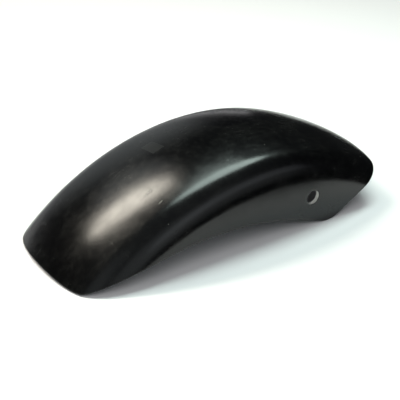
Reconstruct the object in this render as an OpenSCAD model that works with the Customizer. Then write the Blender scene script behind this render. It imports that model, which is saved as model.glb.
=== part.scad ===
// Short rear fender for a motorcycle: one pressed steel shell.
// Built round the wheel axle, which runs along Y, then set down so that it rests at z = 0.
// The tail is at -X, the front, under the saddle, at +X.

/* [Crown] */
// Radius from the wheel axle to the top of the crown
crown_r = 350; // [320:1:400]
// Width over both flanks
width = 194; // [170:1:220]
// Radius of the crown across the section
crown_arc_r = 266; // [220:1:400]
// Outer radius of the shoulder between crown and flank
shoulder_r = 37; // [28:1:48]
// Thickness of the sheet
sheet_t = 2; // [1:0.1:3]

/* [Ends] */
// Angle of the tail edge behind the top of the arc
tail_angle = 47; // [40:0.5:58]
// Angle of the front edge ahead of the top of the arc
front_angle = 34.5; // [28:0.5:44]
// How far the front edge is raked back from the line to the axle
front_rake = 26; // [0:1:32]

/* [Lower edge] */
// Depth of the side below the crown at the tail
tail_depth = 9; // [9:1:30]
// Depth of the side below the crown half way round
middle_depth = 81; // [66:1:96]
// Depth of the side below the crown at the front
front_depth = 100; // [80:1:120]
// Radius of the lower corner at the tail
tail_corner_r = 13; // [4:1:13]
// Radius of the lower corner at the front
front_corner_r = 34; // [8:1:40]

/* [Mounting holes] */
// Diameter of the hole through each flank
hole_d = 18.5; // [6:0.5:22]
// Distance from the front edge back to the hole, along the crown
hole_from_front = 129; // [105:1:150]
// Distance from the lower edge up to the middle of the hole
hole_from_edge = 30; // [22:1:36]
// How far the collar drawn down round the hole stands inside the flank
hole_collar = 3; // [1:0.5:8]

/* [Hidden] */

$fn = 96;
half_w = width / 2;

// section: the crown arc meets each shoulder arc where both have the same normal
shoulder_y = half_w - shoulder_r;
shoulder_rise = sqrt(pow(crown_arc_r - shoulder_r, 2) - pow(shoulder_y, 2));
crown_c = crown_r - crown_arc_r;
shoulder_c = crown_c + shoulder_rise;
crown_half_angle = atan(shoulder_y / shoulder_rise);
flank_foot = crown_r - 1.4 * max(tail_depth, middle_depth, front_depth);

// a point of the side view, by angle ahead of the top and radius from the axle
function around(angle, r) = [r * sin(angle), r * cos(angle)];
function dot2(a, b) = a[0] * b[0] + a[1] * b[1];

// centre of the circle through three points
function circle_centre(a, b, c) =
    let (u = b - a, v = c - a, k = 2 * (u[0] * v[1] - u[1] * v[0]))
    a + [v[1] * dot2(u, u) - u[1] * dot2(v, v), u[0] * dot2(v, v) - v[0] * dot2(u, u)] / k;

// side view: the lower edge is one arc through its three depths
edge_tail = around(-tail_angle, crown_r - tail_depth);
edge_middle = around((front_angle - tail_angle) / 2, crown_r - middle_depth);
edge_front = around(front_angle, crown_r - front_depth);
edge_c = circle_centre(edge_tail, edge_middle, edge_front);
edge_r = norm(edge_tail - edge_c);

// each end is cut along a line down from the crown; "inward" points into the sheet
tail_top = around(-tail_angle, crown_r);
tail_down = around(-tail_angle, -1);
tail_inward = [-tail_down[1], tail_down[0]];
front_top = around(front_angle, crown_r);
front_down = around(front_angle + front_rake, -1);
front_inward = [front_down[1], -front_down[0]];

// centre of a corner arc that touches an end line and the lower edge
function corner_centre(top, down, inward, r) =
    let (q = top + inward * r - edge_c, b = dot2(q, down))
    top + inward * r - down * (b + sqrt(b * b - dot2(q, q) + pow(edge_r + r, 2)));
tail_corner_c = corner_centre(tail_top, tail_down, tail_inward, tail_corner_r);
front_corner_c = corner_centre(front_top, front_down, front_inward, front_corner_r);

// radius from the axle to the lower edge at an angle
function edge_radius(angle) =
    let (u = around(angle, 1), b = dot2(u, edge_c))
    b + sqrt(b * b - dot2(edge_c, edge_c) + pow(edge_r, 2));

// hole: back along the crown from the front edge, up from the lower edge
hole_angle = front_angle - hole_from_front / crown_r * 180 / PI;
hole_at = around(hole_angle, edge_radius(hole_angle) + hole_from_edge);

// rest: turned round the axle until the line under both corner arcs is level
corner_span = front_corner_c - tail_corner_c;
seat_turn = atan2(corner_span[1], corner_span[0]) + asin((tail_corner_r - front_corner_r) / norm(corner_span));
seat_down = [sin(seat_turn), -cos(seat_turn)];
foot_z = -dot2(seat_down, tail_corner_c) - tail_corner_r;
middle_x = crown_r * (sin(front_angle + seat_turn) - sin(tail_angle - seat_turn)) / 2;

// solid section of the fender, seen along the arc: x is the radius, y the side
module section(inset) {
    intersection() {
        translate([crown_c, 0]) circle(r = crown_arc_r - inset);
        polygon([
            [shoulder_c, -shoulder_y],
            [shoulder_c + 90 * cos(crown_half_angle), -shoulder_y - 90 * sin(crown_half_angle)],
            [shoulder_c + 90 * cos(crown_half_angle), shoulder_y + 90 * sin(crown_half_angle)],
            [shoulder_c, shoulder_y]
        ]);
    }
    for (side = [-1, 1])
        translate([shoulder_c, side * shoulder_y]) circle(r = shoulder_r - inset);
    polygon([
        [flank_foot - inset, -half_w + inset],
        [shoulder_c, -half_w + inset],
        [shoulder_c, half_w - inset],
        [flank_foot - inset, half_w - inset]
    ]);
}

// a section swept round the axle, a little past both ends
module swept() {
    rotate([90, 0, 0])
        rotate([0, 0, 90 - front_angle - 4])
            rotate_extrude(angle = front_angle + tail_angle + 8)
                children();
}

// collars round the holes: two rings, from inside the sheet towards the middle
module collars() {
    collar_d = hole_d + 2 * sheet_t;
    intersection() {
        translate([hole_at[0], 0, hole_at[1]])
            rotate([90, 0, 0])
                difference() {
                    cylinder(h = width - sheet_t, d = collar_d, center = true);
                    cylinder(h = width - 2 * sheet_t - 2 * hole_collar, d = collar_d + 4, center = true);
                }
        swept() section(0);
    }
}

// what a rounded corner takes away, outside its arc
module corner_waste(top, down, inward, centre, r) {
    along = dot2(centre - top, down);
    on_line = top + down * along;
    on_edge = edge_c + (centre - edge_c) * edge_r / (edge_r + r);
    difference() {
        polygon([
            centre,
            on_line,
            on_line - inward * 8,
            on_line - inward * 8 + down * 2 * r,
            on_edge + (edge_c - on_edge) / edge_r * 8,
            on_edge
        ]);
        translate(centre) circle(r = r);
    }
}

// side view of the finished fender
module side_view() {
    difference() {
        polygon([
            tail_top - tail_down * 60,
            tail_top + tail_down * 1.3 * max(tail_depth, middle_depth, front_depth),
            front_top + front_down * 1.3 * max(tail_depth, middle_depth, front_depth),
            front_top - front_down * 60,
            [0, 1.4 * crown_r]
        ]);
        translate(edge_c) circle(r = edge_r);
        corner_waste(tail_top, tail_down, tail_inward, tail_corner_c, tail_corner_r);
        corner_waste(front_top, front_down, front_inward, front_corner_c, front_corner_r);
    }
}

// pressed shell: crown, two shoulders, two flanks with a collared mounting hole in each
module fender_shell() {
    color("#1c1d1f")
        translate([-middle_x, 0, -foot_z])
            rotate([0, seat_turn, 0])
            difference() {
                union() {
                    intersection() {
                        swept() difference() {
                            section(0);
                            section(sheet_t);
                        }
                        rotate([90, 0, 0])
                            linear_extrude(height = width + 20, center = true) side_view();
                    }
                    collars();
                }
                translate([hole_at[0], 0, hole_at[1]])
                    rotate([90, 0, 0])
                        cylinder(h = width + 20, d = hole_d, center = true);
            }
}

fender_shell();
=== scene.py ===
"""Looks for a short motorcycle rear fender: one pressed steel shell in black electrocoat primer.

The sheet is drawn flat, as the blank that a press is given. A node tree then presses it to its section
and bends it round the wheel. Sizes are in metres and repeat the part's source. +X is the front, +Y the
left side, and +Z is up.
"""

import math

import bmesh
import bpy
import numpy as np
from mathutils import Matrix, Vector
from mathutils.kdtree import KDTree


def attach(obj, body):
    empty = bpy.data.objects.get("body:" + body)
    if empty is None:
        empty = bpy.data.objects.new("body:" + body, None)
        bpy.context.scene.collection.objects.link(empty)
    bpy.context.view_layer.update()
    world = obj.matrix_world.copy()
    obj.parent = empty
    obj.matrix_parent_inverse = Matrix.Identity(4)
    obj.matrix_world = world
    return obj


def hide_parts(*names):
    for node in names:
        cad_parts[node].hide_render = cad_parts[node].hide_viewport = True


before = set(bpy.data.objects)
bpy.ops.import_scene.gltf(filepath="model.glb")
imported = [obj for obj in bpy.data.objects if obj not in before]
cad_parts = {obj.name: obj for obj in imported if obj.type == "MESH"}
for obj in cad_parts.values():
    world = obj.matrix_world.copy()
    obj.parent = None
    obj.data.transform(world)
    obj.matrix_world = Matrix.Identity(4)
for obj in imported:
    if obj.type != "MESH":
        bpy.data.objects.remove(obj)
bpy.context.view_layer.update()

# sizes of the pressing, as in the part's source
CROWN_R = 0.350
HALF_W = 0.097
CROWN_ARC_R = 0.266
SHOULDER_R = 0.037
SHEET_T = 0.002
TAIL_ANGLE = math.radians(47)
FRONT_ANGLE = math.radians(34.5)
FRONT_RAKE = math.radians(26)
TAIL_DEPTH = 0.009
MIDDLE_DEPTH = 0.081
FRONT_DEPTH = 0.100
TAIL_CORNER_R = 0.013
FRONT_CORNER_R = 0.034
HOLE_R = 0.00925
HOLE_FROM_FRONT = 0.129
HOLE_FROM_EDGE = 0.030
HOLE_COLLAR = 0.003

# finer forms, which the source leaves out: the rolled lip of the holes and the depth at which bare
# steel starts in them, the rounding of edges sharper than an angle, and slow ripples of the press
HOLE_LIP_R = 0.0008
BARE_FROM = 0.0004
CUT_EDGE_R = 0.0005
CUT_EDGE_STEPS = 3
CUT_EDGE_ANGLE = math.radians(50)
RIPPLE = 0.0002
RIPPLE_LENGTH = 0.045
RIPPLE_SEED = 3.7

# the shell is lifted by this, so that its rounded rim stays inside the solid's box
FOOT_LIFT = 0.00003

# points on each stretch of the cut edge, of which the short tail line takes every twentieth, and
# faces of the blank's grid along the crown and across it
END_POINTS = 200
TAIL_POINT_STEP = 20
TAIL_CORNER_POINTS = 400
LOWER_EDGE_POINTS = 900
FRONT_CORNER_POINTS = 300
ALONG = 176
ACROSS = 120

# the grid's tail corners on the blank: ahead of the tail edge, and out from the crown line
TAIL_CORNER_AHEAD = 0.011
TAIL_CORNER_OUT = 0.074

# round each hole the grid is cut away by this many faces each way and filled with rings
HOLE_BLOCK = 8
HOLE_RINGS = 6
HOLE_LIP_STEPS = 4
HOLE_WALL_STEPS = 3

SAME_POINT = 1e-9
MM_PER_METRE = 1000

# section: where the crown arc hands over to the shoulder arc
SHOULDER_Y = HALF_W - SHOULDER_R
SHOULDER_RISE = math.sqrt((CROWN_ARC_R - SHOULDER_R) ** 2 - SHOULDER_Y**2)
CROWN_HALF_ANGLE = math.atan2(SHOULDER_Y, SHOULDER_RISE)
CROWN_RUN = CROWN_ARC_R * CROWN_HALF_ANGLE
SHOULDER_RUN = SHOULDER_R * (math.pi / 2 - CROWN_HALF_ANGLE)
FLANK_TOP_DEPTH = CROWN_ARC_R - SHOULDER_RISE


def around(angle, radius):
    """Point of the side view, by angle ahead of the top and radius from the axle."""
    return np.array([radius * math.sin(angle), radius * math.cos(angle)])


def circle_centre(a, b, c):
    """Centre of the circle through three points."""
    u, v = b - a, c - a
    k = 2 * (u[0] * v[1] - u[1] * v[0])
    return a + np.array([v[1] * u @ u - u[1] * v @ v, u[0] * v @ v - v[0] * u @ u]) / k


def corner_centre(top, down, inward, radius):
    """Centre of the arc that touches an end line and the lower edge."""
    q = top + inward * radius - EDGE_C
    b = q @ down
    return top + inward * radius - down * (b + math.sqrt(b * b - q @ q + (EDGE_R + radius) ** 2))


def edge_radius(angle):
    """Radius from the axle to the lower edge."""
    u = around(angle, 1)
    b = u @ EDGE_C
    return b + math.sqrt(b * b - EDGE_C @ EDGE_C + EDGE_R**2)


def unit(v):
    """The same direction, one long."""
    return v / np.hypot(*v)


# side view, axle at the origin
EDGE_TAIL = around(-TAIL_ANGLE, CROWN_R - TAIL_DEPTH)
EDGE_C = circle_centre(
    EDGE_TAIL,
    around((FRONT_ANGLE - TAIL_ANGLE) / 2, CROWN_R - MIDDLE_DEPTH),
    around(FRONT_ANGLE, CROWN_R - FRONT_DEPTH),
)
EDGE_R = float(np.hypot(*(EDGE_TAIL - EDGE_C)))
TAIL_TOP = around(-TAIL_ANGLE, CROWN_R)
TAIL_DOWN = around(-TAIL_ANGLE, -1)
TAIL_INWARD = np.array([-TAIL_DOWN[1], TAIL_DOWN[0]])
FRONT_TOP = around(FRONT_ANGLE, CROWN_R)
FRONT_DOWN = around(FRONT_ANGLE + FRONT_RAKE, -1)
FRONT_INWARD = np.array([FRONT_DOWN[1], -FRONT_DOWN[0]])
TAIL_CORNER_C = corner_centre(TAIL_TOP, TAIL_DOWN, TAIL_INWARD, TAIL_CORNER_R)
FRONT_CORNER_C = corner_centre(FRONT_TOP, FRONT_DOWN, FRONT_INWARD, FRONT_CORNER_R)
HOLE_ANGLE = FRONT_ANGLE - HOLE_FROM_FRONT / CROWN_R
HOLE_C = around(HOLE_ANGLE, edge_radius(HOLE_ANGLE) + HOLE_FROM_EDGE)

# the shell is turned round the axle until it rests level, then set down on the floor
CORNER_SPAN = FRONT_CORNER_C - TAIL_CORNER_C
SEAT_TURN = math.atan2(CORNER_SPAN[1], CORNER_SPAN[0]) + math.asin(
    (TAIL_CORNER_R - FRONT_CORNER_R) / np.hypot(*CORNER_SPAN)
)
SEAT_DOWN = np.array([math.sin(SEAT_TURN), -math.cos(SEAT_TURN)])
FOOT_Z = float(-SEAT_DOWN @ TAIL_CORNER_C - TAIL_CORNER_R)
MIDDLE_X = CROWN_R * (math.sin(FRONT_ANGLE + SEAT_TURN) - math.sin(TAIL_ANGLE - SEAT_TURN)) / 2


# the flat blank


def side_arc(centre, start, end, n):
    """Points of the shorter arc from start to end."""
    a, b = (math.atan2(*(p - centre)[::-1]) for p in (start, end))
    turn = (b - a + math.pi) % (2 * math.pi) - math.pi
    t = a + turn * np.linspace(0, 1, n)
    return centre + np.hypot(*(start - centre)) * np.column_stack([np.cos(t), np.sin(t)])


def on_lower_edge(corner, radius):
    """Where a corner arc meets the lower edge."""
    return EDGE_C + (corner - EDGE_C) * EDGE_R / (EDGE_R + radius)


def side_outline():
    """The cut edge in side view: down the tail, along the lower edge and up the front to the crown."""
    tail_touch = TAIL_CORNER_C - TAIL_INWARD * TAIL_CORNER_R
    tail_meets = on_lower_edge(TAIL_CORNER_C, TAIL_CORNER_R)
    front_meets = on_lower_edge(FRONT_CORNER_C, FRONT_CORNER_R)
    front_touch = FRONT_CORNER_C - FRONT_INWARD * FRONT_CORNER_R
    steps = np.linspace(0, 1, END_POINTS)[:, None]
    return np.vstack(
        [
            TAIL_TOP + steps[::TAIL_POINT_STEP] * (tail_touch - TAIL_TOP),
            side_arc(TAIL_CORNER_C, tail_touch, tail_meets, TAIL_CORNER_POINTS)[1:],
            side_arc(EDGE_C, tail_meets, front_meets, LOWER_EDGE_POINTS)[1:],
            side_arc(FRONT_CORNER_C, front_meets, front_touch, FRONT_CORNER_POINTS)[1:],
            front_touch + steps[1:] * (FRONT_TOP - front_touch),
        ]
    )


def to_blank(points):
    """Side-view points of the near cut edge, as places on the blank: along the crown, and across it."""
    angle = np.arctan2(points[:, 0], points[:, 1])
    depth = CROWN_R - np.hypot(points[:, 0], points[:, 1])
    # at the tail the inner skin meets the outline, so that the sheet's thickness stays inside it
    inset = np.where(angle < 0, SHEET_T, 0.0)
    crown = np.arccos(np.clip(1 - (depth - inset) / (CROWN_ARC_R - inset), -1, 1))
    crown_drop = (CROWN_ARC_R - inset) * (1 - math.cos(CROWN_HALF_ANGLE))
    drop = (depth - inset - crown_drop) / (SHOULDER_R - inset)
    shoulder = np.arccos(np.clip(math.cos(CROWN_HALF_ANGLE) - drop, 0, 1))
    on_shoulder = CROWN_RUN + SHOULDER_R * (shoulder - CROWN_HALF_ANGLE)
    on_flank = CROWN_RUN + SHOULDER_RUN + depth - FLANK_TOP_DEPTH
    girth = np.where(crown <= CROWN_HALF_ANGLE, CROWN_ARC_R * crown, on_shoulder)
    girth = np.where(depth > FLANK_TOP_DEPTH, on_flank, girth)
    return np.column_stack([angle * CROWN_R, -np.where(depth > inset, girth, 0.0)])


def even(points, n):
    """n points along a line, evenly by length."""
    run = np.r_[0, np.cumsum(np.hypot(*np.diff(points, axis=0).T))]
    t = np.linspace(0, 1, n) * run[-1]
    return np.column_stack([np.interp(t, run, points[:, k]) for k in (0, 1)])


def nearest(points, place):
    """Which of the points lies nearest to a place."""
    return int(np.argmin(np.hypot(*(points - place).T)))


def blank_grid():
    """The flat blank as a grid of points, whose sides follow the four cut edges."""
    edge = to_blank(side_outline())
    edge = edge[np.r_[True, np.hypot(*np.diff(edge, axis=0).T) > SAME_POINT]]
    # the four corners of the grid sit in the rounded corners of the sheet
    tail_k = nearest(edge, (edge[0, 0] + TAIL_CORNER_AHEAD, -TAIL_CORNER_OUT))
    corner_out = unit(unit(EDGE_C - FRONT_CORNER_C) - FRONT_INWARD)
    corner_middle = FRONT_CORNER_C + FRONT_CORNER_R * corner_out
    front_k = nearest(edge, to_blank(corner_middle[None])[0])
    flip = np.array([1, -1])
    near = even(edge[tail_k : front_k + 1], ALONG + 1)
    far = near * flip
    tail = edge[: tail_k + 1][::-1]
    tail = even(np.vstack([tail, (tail * flip)[::-1][1:]]), ACROSS + 1)
    front = edge[front_k:]
    front = even(np.vstack([front, (front * flip)[::-1][1:]]), ACROSS + 1)
    # a patch spanned by its four sides
    u = np.linspace(0, 1, ALONG + 1)[:, None, None]
    v = np.linspace(0, 1, ACROSS + 1)[None, :, None]
    sides = (1 - v) * near[:, None] + v * far[:, None] + (1 - u) * tail[None] + u * front[None]
    near_corners = (1 - u) * (1 - v) * near[0] + u * (1 - v) * near[-1]
    far_corners = (1 - u) * v * far[0] + u * v * far[-1]
    return sides - near_corners - far_corners


def to_side_view(p):
    """A place on the flat of a flank, back in side view."""
    depth = abs(p[1]) - CROWN_RUN - SHOULDER_RUN + FLANK_TOP_DEPTH
    return around(p[0] / CROWN_R, CROWN_R - depth)


def to_flank(points, side):
    """Side-view points on the flat of a flank, as places on the blank."""
    girth = CROWN_RUN + SHOULDER_RUN + CROWN_R - np.hypot(*points.T) - FLANK_TOP_DEPTH
    return np.column_stack([np.arctan2(points[:, 0], points[:, 1]) * CROWN_R, side * girth])


def hole_rings():
    """Rings from the grid into the hole: share of the way in, radius past the hole's, and depth."""
    rings = [(k / HOLE_RINGS, HOLE_LIP_R, 0.0) for k in range(1, HOLE_RINGS + 1)]
    for k in range(1, HOLE_LIP_STEPS + 1):
        turn = math.pi / 2 * k / HOLE_LIP_STEPS
        rings.append((1.0, HOLE_LIP_R * (1 - math.sin(turn)), HOLE_LIP_R * (1 - math.cos(turn))))
    wall = SHEET_T + HOLE_COLLAR - HOLE_LIP_R
    for k in range(1, HOLE_WALL_STEPS + 1):
        rings.append((1.0, 0.0, HOLE_LIP_R + wall * k / HOLE_WALL_STEPS))
    return rings


def block_rim(i0, i1, j0, j1):
    """Grid places round a block of faces, in order."""
    near = [(i, j0) for i in range(i0, i1)]
    front = [(i1, j) for j in range(j0, j1)]
    far = [(i, j1) for i in range(i1, i0, -1)]
    tail = [(i0, j) for j in range(j1, j0, -1)]
    return near + front + far + tail


def blank_mesh():
    """The blank, with a hole in each flank whose rim is drawn down. Depth below the skin is -z."""
    grid = blank_grid()
    bm = bmesh.new()
    verts = [[bm.verts.new((*place, 0)) for place in row] for row in grid]
    faces = {}
    for i in range(ALONG):
        for j in range(ACROSS):
            corners = (verts[i][j], verts[i + 1][j], verts[i + 1][j + 1], verts[i][j + 1])
            faces[i, j] = bm.faces.new(corners)
    hole = to_flank(HOLE_C[None], 1)[0]
    for side in (-1, 1):
        away = np.hypot(grid[..., 0] - hole[0], grid[..., 1] - side * hole[1])
        mid_i, mid_j = np.unravel_index(np.argmin(away), away.shape)
        i0, i1 = mid_i - HOLE_BLOCK, mid_i + HOLE_BLOCK
        j0, j1 = mid_j - HOLE_BLOCK, mid_j + HOLE_BLOCK
        block = [faces.pop((i, j)) for i in range(i0, i1) for j in range(j0, j1)]
        bmesh.ops.delete(bm, geom=block, context="FACES")
        ring = [verts[i][j] for i, j in block_rim(i0, i1, j0, j1)]
        outer = np.array([to_side_view(v.co) for v in ring])
        outward = (outer - HOLE_C) / np.hypot(*(outer - HOLE_C).T)[:, None]
        for share, past, depth in hole_rings():
            target = HOLE_C + outward * (HOLE_R + past)
            places = to_flank(outer + (target - outer) * share, side)
            inner = [bm.verts.new((*p, -depth)) for p in places]
            for a in range(len(ring)):
                b = (a + 1) % len(ring)
                bm.faces.new((ring[a], ring[b], inner[b], inner[a]))
            ring = inner
    mesh = bpy.data.meshes.new("fender_blank")
    bm.to_mesh(mesh)
    bm.free()
    store_edge_distance(mesh)
    return mesh


def store_edge_distance(mesh):
    """Keeps each point's distance to the nearest cut edge, in millimetres, for the finish."""
    sides = np.array([e for face in mesh.polygons for e in face.edge_keys])
    keys, uses = np.unique(sides, axis=0, return_counts=True)
    open_points = set(keys[uses == 1].ravel().tolist())
    rim = [v.co for v in mesh.vertices if v.index in open_points and v.co.z == 0]
    tree = KDTree(len(rim))
    for k, place in enumerate(rim):
        tree.insert(place, k)
    tree.balance()
    edge = mesh.attributes.new("edge_mm", "FLOAT", "POINT")
    edge.data.foreach_set("value", [MM_PER_METRE * tree.find(v.co)[2] for v in mesh.vertices])


# nodes


def linear(code):
    """sRGB hex to linear RGBA."""
    parts = [int(code[k : k + 2], 16) / 255 for k in (1, 3, 5)]
    return (*(c / 12.92 if c <= 0.04045 else ((c + 0.055) / 1.055) ** 2.4 for c in parts), 1.0)


def add(tree, kind, inputs=(), **settings):
    """Adds a node with its settings.

    inputs gives its sockets, in order or by name. Each is a value, the socket that feeds it, or a node
    whose first output does.
    """
    node = tree.nodes.new(kind)
    for key, value in settings.items():
        setattr(node, key, value)
    given = inputs if isinstance(inputs, dict) else dict(enumerate(inputs))
    for key, value in given.items():
        source = value.outputs[0] if isinstance(value, bpy.types.Node) else value
        if isinstance(source, bpy.types.NodeSocket):
            tree.links.new(source, node.inputs[key])
        else:
            node.inputs[key].default_value = source
    return node


# inputs of the press, with the value that each is given
PRESS_SIZES = {
    "Crown radius": CROWN_R,
    "Crown arc radius": CROWN_ARC_R,
    "Shoulder radius": SHOULDER_R,
    "Crown half angle": CROWN_HALF_ANGLE,
    "Seat turn": SEAT_TURN,
    "Middle": MIDDLE_X,
    "Foot": FOOT_Z - FOOT_LIFT,
    "Ripple": RIPPLE,
    "Ripple length": RIPPLE_LENGTH,
    "Bare from": BARE_FROM,
}

# what the press works out, step by step: its name, the sum, and what goes into it
PRESS_SUMS = (
    # across the section: how far round the crown, then round the shoulder, then down the flank
    ("across", "ABSOLUTE", "blank y"),
    ("crown run", "MULTIPLY", "Crown arc radius", "Crown half angle"),
    ("shoulder angle", "SUBTRACT", math.pi / 2, "Crown half angle"),
    ("shoulder run", "MULTIPLY", "Shoulder radius", "shoulder angle"),
    ("crown part", "MINIMUM", "across", "crown run"),
    ("on crown", "DIVIDE", "crown part", "Crown arc radius"),
    ("beyond crown", "SUBTRACT", "across", "crown run"),
    ("past crown", "MAXIMUM", "beyond crown", 0.0),
    ("shoulder part", "MINIMUM", "past crown", "shoulder run"),
    ("on shoulder", "DIVIDE", "shoulder part", "Shoulder radius"),
    ("beyond shoulder", "SUBTRACT", "past crown", "shoulder run"),
    ("on flank", "MAXIMUM", "beyond shoulder", 0.0),
    # the skin's lean, its place to the side, and its drop below the top of the crown
    ("lean", "ADD", "on crown", "on shoulder"),
    ("crown sine", "SINE", "on crown"),
    ("crown cosine", "COSINE", "on crown"),
    ("lean sine", "SINE", "lean"),
    ("lean cosine", "COSINE", "lean"),
    ("sine gain", "SUBTRACT", "lean sine", "crown sine"),
    ("shoulder side", "MULTIPLY", "Shoulder radius", "sine gain"),
    ("side", "MULTIPLY_ADD", "Crown arc radius", "crown sine", "shoulder side"),
    ("cosine loss", "SUBTRACT", "crown cosine", "lean cosine"),
    ("shoulder drop", "MULTIPLY", "Shoulder radius", "cosine loss"),
    ("crown fall", "SUBTRACT", 1.0, "crown cosine"),
    ("curved drop", "MULTIPLY_ADD", "Crown arc radius", "crown fall", "shoulder drop"),
    ("drop", "ADD", "curved drop", "on flank"),
    # ripples and collars go inwards, square to the skin
    ("ripple", "MULTIPLY", "wave", "Ripple"),
    ("inward", "SUBTRACT", "ripple", "blank z"),
    ("inward side", "MULTIPLY", "inward", "lean sine"),
    ("inward drop", "MULTIPLY", "inward", "lean cosine"),
    ("true side", "SUBTRACT", "side", "inward side"),
    ("true drop", "ADD", "drop", "inward drop"),
    # round the wheel, then down onto the floor
    ("radius", "SUBTRACT", "Crown radius", "true drop"),
    ("along", "DIVIDE", "blank x", "Crown radius"),
    ("angle", "ADD", "along", "Seat turn"),
    ("angle sine", "SINE", "angle"),
    ("angle cosine", "COSINE", "angle"),
    ("forward", "MULTIPLY", "radius", "angle sine"),
    ("upward", "MULTIPLY", "radius", "angle cosine"),
    ("near or far", "SIGN", "blank y"),
    ("x", "SUBTRACT", "forward", "Middle"),
    ("y", "MULTIPLY", "true side", "near or far"),
    ("z", "SUBTRACT", "upward", "Foot"),
    # the holes are bare steel below this
    ("bare depth", "MULTIPLY", "Bare from", -1.0),
)


def press_tree():
    """Presses the flat blank: first to the fender's section, then round the wheel."""
    tree = bpy.data.node_groups.new("press_fender", "GeometryNodeTree")
    kinds = {name: "NodeSocketFloat" for name in PRESS_SIZES}
    kinds = {"Blank": "NodeSocketGeometry", **kinds}
    kinds.update({"Finish": "NodeSocketMaterial", "Bare steel": "NodeSocketMaterial"})
    for name, kind in kinds.items():
        tree.interface.new_socket(name, in_out="INPUT", socket_type=kind)
    tree.interface.new_socket("Shell", in_out="OUTPUT", socket_type="NodeSocketGeometry")
    given = add(tree, "NodeGroupInput").outputs

    blank = add(tree, "GeometryNodeInputPosition")
    flat = add(tree, "ShaderNodeSeparateXYZ", (blank,)).outputs
    per_ripple = add(tree, "ShaderNodeMath", (1.0, given["Ripple length"]), operation="DIVIDE")
    wave = {"Vector": blank, "W": RIPPLE_SEED, "Scale": per_ripple, "Detail": 1.0}
    wave = add(tree, "ShaderNodeTexNoise", wave, noise_dimensions="4D")
    known = {name: given[name] for name in PRESS_SIZES}
    known.update({"blank x": flat[0], "blank y": flat[1], "blank z": flat[2], "wave": wave})
    for name, operation, *parts in PRESS_SUMS:
        parts = [known.get(part, part) for part in parts]
        known[name] = add(tree, "ShaderNodeMath", parts, operation=operation)

    # the place on the blank is kept, because the finish follows it
    keep = {"Geometry": given["Blank"], "Name": "sheet", "Value": blank}
    shell = add(tree, "GeometryNodeStoreNamedAttribute", keep, data_type="FLOAT_VECTOR", domain="POINT")
    place = add(tree, "ShaderNodeCombineXYZ", (known["x"], known["y"], known["z"]))
    shell = add(tree, "GeometryNodeSetPosition", {"Geometry": shell, "Position": place})
    shell = add(tree, "GeometryNodeRealizeInstances", (shell,))
    shell = add(tree, "GeometryNodeSetMaterial", {"Geometry": shell, "Material": given["Finish"]})
    kept = add(tree, "GeometryNodeInputNamedAttribute", {"Name": "sheet"}, data_type="FLOAT_VECTOR")
    depth = add(tree, "ShaderNodeSeparateXYZ", (kept,)).outputs[2]
    in_hole = add(tree, "ShaderNodeMath", (depth, known["bare depth"]), operation="LESS_THAN")
    bare = {"Geometry": shell, "Selection": in_hole, "Material": given["Bare steel"]}
    shell = add(tree, "GeometryNodeSetMaterial", bare)
    add(tree, "NodeGroupOutput", (shell,))
    return tree


def press(blank, finish, bare):
    """Runs the press tree on the blank and returns the shell as a plain mesh."""
    flat = bpy.data.objects.new("fender_blank", blank)
    bpy.context.collection.objects.link(flat)
    tree = press_tree()
    press_mod = flat.modifiers.new("press", "NODES")
    press_mod.node_group = tree
    values = {**PRESS_SIZES, "Finish": finish, "Bare steel": bare}
    for item in tree.interface.items_tree:
        if item.in_out == "INPUT" and item.name in values:
            press_mod[item.identifier] = values[item.name]
    graph = bpy.context.evaluated_depsgraph_get()
    pressed = bpy.data.meshes.new_from_object(flat.evaluated_get(graph))
    pressed.name = "pressed_shell"
    bpy.data.objects.remove(flat)
    return pressed


# finish


def shader_tree(name):
    """A new material, its tree and its Principled shader."""
    mat = bpy.data.materials.new(name)
    mat.use_nodes = True
    tree = mat.node_tree
    tree.nodes.clear()
    shader = add(tree, "ShaderNodeBsdfPrincipled")
    add(tree, "ShaderNodeOutputMaterial", (shader,))
    return mat, tree, shader


# patterns in the coat: size of the pattern in metres, detail, roughness
COAT_NOISES = {
    "cloud": (0.060, 4.0, 0.6),  # uneven build of the dipped coat
    "smear": (0.020, 5.0, 0.7),  # wiping and handling, drawn out along one direction
    "mottle": (0.009, 3.0, 0.6),  # drying marks
    "fine": (0.0035, 3.0, 0.6),  # dulling too fine to see singly
    "peel": (0.0028, 1.0, 0.5),  # orange peel
    "dents": (0.022, 2.0, 0.5),  # waves of the drawn sheet
    "ragged": (0.0012, 2.0, 0.7),  # torn edge of a nick
}
SMEAR_TURN = 0.6
SMEAR_STRETCH = 3.5

# how each pattern counts: what it reads, from and to in the reading, from and to in the effect
COAT_RANGES = {
    "gloss": ("cloud", 0.3, 0.7, 0.175, 0.210),
    "cloudy": ("cloud", 0.42, 0.68, 0.0, 1.0),
    "wiped": ("smear", 0.35, 0.7, 0.0, 1.0),
    "mottled": ("mottle", 0.48, 0.76, 0.0, 0.4),
    "dulled": ("fine", 0.3, 0.7, 0.0, 1.0),
    # the greyer band at cut edges is partly a thinner coat and partly a painted highlight of the edge
    # catching light
    "worn_and_edge_sheen": ("edge", 1.4, 0.2, 0.0, 1.0),
    "patch": ("reach", 1.0, 0.93, 0.0, 1.0),
    "grain": ("pick", 0.94, 1.0, 0.0, 0.055),
}
DUST_SPACING = 0.009
DENT_DEPTH = 0.00008
PEEL_DEPTH = 0.000003
PATCH_DEPTH = 0.00006

# rubbed square patch on the crown: its middle on the blank, its turn and its half size
PATCH_AT = (-0.0926, 0.0217, 0.0)
PATCH_TURN = math.radians(6)
PATCH_HALF = (0.0092, 0.0126, 1.0)

# nicks: place on the blank, then half length and half width, and the reach of their torn edge
NICKS = (
    (-0.1533, -0.0903, 0.0008, 0.0006),
    (0.1774, -0.0761, 0.0010, 0.0008),
    (0.0175, -0.0562, 0.0008, 0.0006),
    (-0.1418, -0.0632, 0.0034, 0.0008),
)
NICK_TURN = 0.15
NICK_EDGE = (1.6, 1.2)

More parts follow.
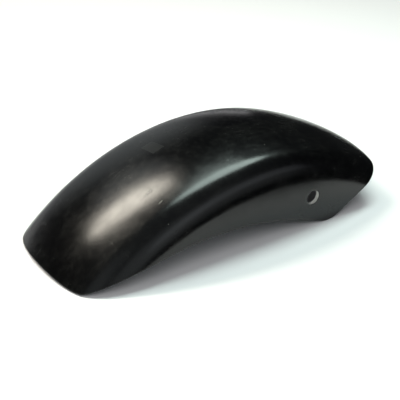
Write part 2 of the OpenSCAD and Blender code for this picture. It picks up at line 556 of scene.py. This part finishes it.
COAT_BLACK = "#020203"
COAT_HAZY = "#0f0f0e"
COAT_RUBBED = "#121313"
# grey of the cut-edge band: partly a thinner coat, partly a painted highlight of the edge catching light
COAT_THIN_AND_EDGE_HIGHLIGHT = "#3a3a38"
FIRST_COAT = "#3d3e39"
COAT_IOR = 1.45
DULLED_ROUGHNESS = 0.02


def electrocoat():
    """Black electrocoat primer on deep-drawn steel, dipped and baked.

    To the eye it is one even satin black over faint waves of the sheet. It has fine orange peel, hazy
    marks of wiping and handling, sparse dust, a few nicks, and a greyer band at cut edges, which is
    partly a thinner coat and partly a painted highlight of the edge catching light.
    Orange peel and dust are drawn somewhat coarser than real ones, so that they show.
    """
    mat, tree, shader = shader_tree("black_electrocoat_primer_dipped")
    sheet = add(tree, "ShaderNodeAttribute", attribute_name="sheet").outputs["Vector"]
    known = {"edge": add(tree, "ShaderNodeAttribute", attribute_name="edge_mm").outputs["Fac"]}

    wiping = {"Vector": sheet, "Rotation": (0, 0, SMEAR_TURN), "Scale": (1, SMEAR_STRETCH, 1)}
    wiping = add(tree, "ShaderNodeMapping", wiping)
    for name, (size, detail, roughness) in COAT_NOISES.items():
        where = wiping if name == "smear" else sheet
        grainy = {"Vector": where, "Scale": 1 / size, "Detail": detail, "Roughness": roughness}
        known[name] = add(tree, "ShaderNodeTexNoise", grainy)

    # reach is 1 on the patch's rim, and square like the patch
    patch = {"Vector": sheet, "Location": PATCH_AT, "Rotation": (0, 0, PATCH_TURN), "Scale": PATCH_HALF}
    patch = add(tree, "ShaderNodeMapping", patch, vector_type="TEXTURE")
    patch = add(tree, "ShaderNodeSeparateXYZ", (patch,)).outputs
    reach = [add(tree, "ShaderNodeMath", (patch[k],), operation="ABSOLUTE") for k in (0, 1)]
    known["reach"] = add(tree, "ShaderNodeMath", reach, operation="MAXIMUM")

    # dust: each cell picks whether it holds a grain, and how large
    dust = add(tree, "ShaderNodeTexVoronoi", {"Vector": sheet, "Scale": 1 / DUST_SPACING})
    known["pick"] = add(tree, "ShaderNodeSeparateColor", (dust.outputs["Color"],))

    for name, (read, *limits) in COAT_RANGES.items():
        known[name] = add(tree, "ShaderNodeMapRange", (known[read], *limits))

    pale = add(tree, "ShaderNodeMath", (dust.outputs["Distance"], known["grain"]), operation="LESS_THAN")
    for x, y, half_long, half_wide in NICKS:
        nick = {"Location": (x, y, 0), "Rotation": (0, 0, NICK_TURN), "Scale": (half_long, half_wide, 1)}
        nick = add(tree, "ShaderNodeMapping", {"Vector": sheet, **nick}, vector_type="TEXTURE")
        nick = add(tree, "ShaderNodeVectorMath", (nick,), operation="LENGTH").outputs["Value"]
        nick = add(tree, "ShaderNodeMath", (nick, known["ragged"]), operation="ADD")
        nick = add(tree, "ShaderNodeMapRange", (nick, *NICK_EDGE))
        pale = add(tree, "ShaderNodeMath", (pale, nick), operation="MAXIMUM")

    haze = (known["cloudy"], known["wiped"], known["mottled"])
    haze = add(tree, "ShaderNodeMath", haze, operation="MULTIPLY_ADD", use_clamp=True)

    # what changes the plain coat: how much of it there is, how far it tints, its colour, and what it
    # adds to roughness
    changes = (
        (haze, 1.0, COAT_HAZY, 0.10),
        (known["patch"], 0.8, COAT_RUBBED, 0.08),
        # painted highlight: the lighter band along cut edges stands partly for the edge catching light
        (known["worn_and_edge_sheen"], 0.5, COAT_THIN_AND_EDGE_HIGHLIGHT, 0.10),
        (pale, 1.0, FIRST_COAT, 0.20),
    )
    colour = linear(COAT_BLACK)
    gloss = (known["dulled"], DULLED_ROUGHNESS, known["gloss"])
    gloss = add(tree, "ShaderNodeMath", gloss, operation="MULTIPLY_ADD")
    for amount, tint, code, rougher in changes:
        share = add(tree, "ShaderNodeMath", (amount, tint), operation="MULTIPLY")
        mix = {0: share, 6: colour, 7: linear(code)}
        colour = add(tree, "ShaderNodeMix", mix, data_type="RGBA").outputs[2]
        gloss = add(tree, "ShaderNodeMath", (amount, rougher, gloss), operation="MULTIPLY_ADD")
    tree.links.new(colour, shader.inputs["Base Color"])
    tree.links.new(gloss.outputs[0], shader.inputs["Roughness"])
    shader.inputs["IOR"].default_value = COAT_IOR

    relief = {}
    for name, depth in (("dents", DENT_DEPTH), ("peel", PEEL_DEPTH), ("patch", PATCH_DEPTH)):
        relief.update({"Height": known[name], "Strength": 1.0, "Distance": depth})
        relief["Normal"] = add(tree, "ShaderNodeBump", relief)
    tree.links.new(relief["Normal"].outputs[0], shader.inputs["Normal"])
    return mat


BORE_COLOUR = "#e6e5e0"
BORE_METALLIC = 0.35
BORE_ROUGHNESS = 0.6
SCRATCH_SPACING = 0.0004
SCRATCH_DEPTH = 0.00001


def bore_steel():
    """Mild steel inside the mounting holes, with the coat scraped off.

    It is pale, dull and finely scratched, and still part covered, so it is only partly metallic.
    """
    mat, tree, shader = shader_tree("bare_steel_scraped")
    shader.inputs["Base Color"].default_value = linear(BORE_COLOUR)
    shader.inputs["Metallic"].default_value = BORE_METALLIC
    shader.inputs["Roughness"].default_value = BORE_ROUGHNESS
    sheet = add(tree, "ShaderNodeAttribute", attribute_name="sheet").outputs["Vector"]
    scratches = {"Vector": sheet, "Scale": 1 / SCRATCH_SPACING, "Detail": 1.0}
    scratches = add(tree, "ShaderNodeTexNoise", scratches)
    relief = {"Height": scratches, "Strength": 1.0, "Distance": SCRATCH_DEPTH}
    relief = add(tree, "ShaderNodeBump", relief)
    tree.links.new(relief.outputs[0], shader.inputs["Normal"])
    return mat


# the shell: the pressed skin gets the sheet's thickness, and its cut edges are rounded

shell = bpy.data.objects.new("pressed_shell", press(blank_mesh(), electrocoat(), bore_steel()))
bpy.context.collection.objects.link(shell)
shell.data.shade_smooth()
wall = shell.modifiers.new("sheet", "SOLIDIFY")
wall.thickness = SHEET_T
wall.offset = -1.0
wall.use_even_offset = True
wall.material_offset = -1
wall.material_offset_rim = -1
soft = shell.modifiers.new("edge", "BEVEL")
soft.width = CUT_EDGE_R
soft.segments = CUT_EDGE_STEPS
soft.limit_method = "ANGLE"
soft.angle_limit = CUT_EDGE_ANGLE
soft.harden_normals = True

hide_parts("fender_shell")
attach(shell, "root")


# floor: the coat mirrors the table under the fender and a dim room beyond it, so the floor round the
# table is left out of reflections

FLOOR_Z = -0.0003
TABLE = [(-0.50, -0.240), (0.235, -0.175), (0.60, 0.45), (-0.50, 0.45)]
ROOM = [(-8, -8), (8, -8), (8, 8), (-8, 8)]
TABLE_FACES = [(0, 1, 2, 3)]
ROOM_FACES = [(4, 5, 1, 0), (5, 6, 2, 1), (6, 7, 3, 2), (7, 4, 0, 3)]
FLOOR_COLOUR = "#edebed"
FLOOR_ROUGHNESS = 0.9


def flat_piece(name, corners, faces, mat):
    """A flat piece of the floor."""
    mesh = bpy.data.meshes.new(name)
    mesh.from_pydata([(x, y, FLOOR_Z) for x, y in corners], [], faces)
    mesh.materials.append(mat)
    obj = bpy.data.objects.new(name, mesh)
    bpy.context.collection.objects.link(obj)
    return obj


pale_floor, _, floor_shader = shader_tree("pale_floor")
floor_shader.inputs["Base Color"].default_value = linear(FLOOR_COLOUR)
floor_shader.inputs["Roughness"].default_value = FLOOR_ROUGHNESS
flat_piece("table", TABLE, TABLE_FACES, pale_floor)
room = flat_piece("room_floor", TABLE + ROOM, ROOM_FACES, pale_floor)
room.visible_glossy = False


# light

AIM = Vector((0, 0, 0.06))

# name, shape, azimuth and elevation, distance, roll, half length and half width, radiance, colour
LIGHTS = (
    ("window", "ELLIPSE", 119.6, 53.6, 1.93, -45.5, 0.64, 0.188, 23.0, "#fff8e8"),
    ("tube", "ELLIPSE", 21.0, 74.8, 1.365, 74.4, 0.58, 0.28, 9.6, "#eafff8"),
    ("side", "RECTANGLE", -70, 24.0, 1.3, 0, 0.7, 0.17, 0.38, "#eef6ff"),
    ("far_wall", "RECTANGLE", 84, 2.0, 2.2, 0, 1.6, 0.14, 0.9, "#fdfdff"),
    ("floor_fill", "ELLIPSE", -126, 50, 2.5, 0, 0.8, 0.8, 2.4, "#ffffff"),
)
ELLIPSE_SHARE = math.pi / 4

# soft glows of the room: azimuth, elevation, reach and bright core in degrees, strength
GLOWS = (
    (79, 14, 25, 6, 0.48),
    (99, 49, 18, 3, 1.0),
    (-160, 30, 32, 8, 0.3),
    (-98, 18, 32, 4, 0.42),
    (-68, 17, 30, 4, 0.36),
    (-120, 55, 70, 15, 0.18),
)
ROOM_LIGHT = 0.02
ROOM_COLOUR = "#eff7f8"


def direction(azimuth, elevation):
    """Unit vector by its azimuth from +X towards +Y and its elevation, in degrees."""
    a, e = math.radians(azimuth), math.radians(elevation)
    return Vector((math.cos(a) * math.cos(e), math.sin(a) * math.cos(e), math.sin(e)))


def soft_light(name, shape, azimuth, elevation, distance, roll, half_long, half_wide, radiance, code):
    """An area light that faces the fender, turned by roll about its own axis."""
    back = direction(azimuth, elevation)
    level = direction(azimuth + 90, 0)
    turn = math.radians(roll)
    long_axis = level * math.cos(turn) + back.cross(level) * math.sin(turn)
    light = bpy.data.lights.new(name, "AREA")
    light.shape = shape
    light.size = 2 * half_long
    light.size_y = 2 * half_wide
    area = light.size * light.size_y * (ELLIPSE_SHARE if shape == "ELLIPSE" else 1)
    light.energy = radiance * math.pi * area
    light.color = linear(code)[:3]
    obj = bpy.data.objects.new(name, light)
    bpy.context.collection.objects.link(obj)
    axes = Matrix((long_axis, back.cross(long_axis), back)).transposed().to_4x4()
    obj.matrix_world = Matrix.Translation(AIM + back * distance) @ axes
    return obj


def studio():
    """Dim surroundings with soft glows, each by the direction it comes from."""
    world = bpy.data.worlds.new("studio")
    bpy.context.scene.world = world
    world.use_nodes = True
    sky = world.node_tree
    ahead = add(sky, "ShaderNodeTexCoord").outputs["Generated"]
    total = ROOM_LIGHT
    for azimuth, elevation, reach, core, strength in GLOWS:
        towards = (ahead, direction(azimuth, elevation))
        facing = add(sky, "ShaderNodeVectorMath", towards, operation="DOT_PRODUCT").outputs["Value"]
        limits = (facing, math.cos(math.radians(reach)), math.cos(math.radians(core)), 0.0, strength)
        glow = add(sky, "ShaderNodeMapRange", limits, interpolation_type="SMOOTHSTEP")
        total = add(sky, "ShaderNodeMath", (total, glow), operation="ADD")
    background = sky.nodes["Background"]
    sky.links.new(total.outputs[0], background.inputs["Strength"])
    background.inputs["Color"].default_value = linear(ROOM_COLOUR)


lights = {row[0]: soft_light(*row) for row in LIGHTS}
# the fill only softens the shadow on the floor, so the coat doesn't mirror it
lights["floor_fill"].visible_glossy = False
studio()


# camera: the photograph's angle and frame

VIEW_AZIMUTH = 233.76
VIEW_ELEVATION = 29.19
VIEW_ROLL = math.radians(1.57)
VIEW_DISTANCE = 1.103
VIEW_AIM = Vector((-0.0060, 0, 0.0225))
IMAGE_PX = 400
FOCAL_PX = 880.8
SENSOR_MM = 36

camera = bpy.data.objects.new("camera", bpy.data.cameras.new("camera"))
bpy.context.collection.objects.link(camera)
view_back = direction(VIEW_AZIMUTH, VIEW_ELEVATION)
view_turn = Matrix.Rotation(VIEW_ROLL, 3, "Z").to_quaternion()
camera.location = VIEW_AIM + view_back * VIEW_DISTANCE
camera.rotation_mode = "QUATERNION"
camera.rotation_quaternion = view_back.to_track_quat("Z", "Y") @ view_turn
camera.data.sensor_width = SENSOR_MM
camera.data.lens = FOCAL_PX / IMAGE_PX * SENSOR_MM
bpy.context.scene.camera = camera
bpy.context.scene.view_settings.view_transform = "Standard"
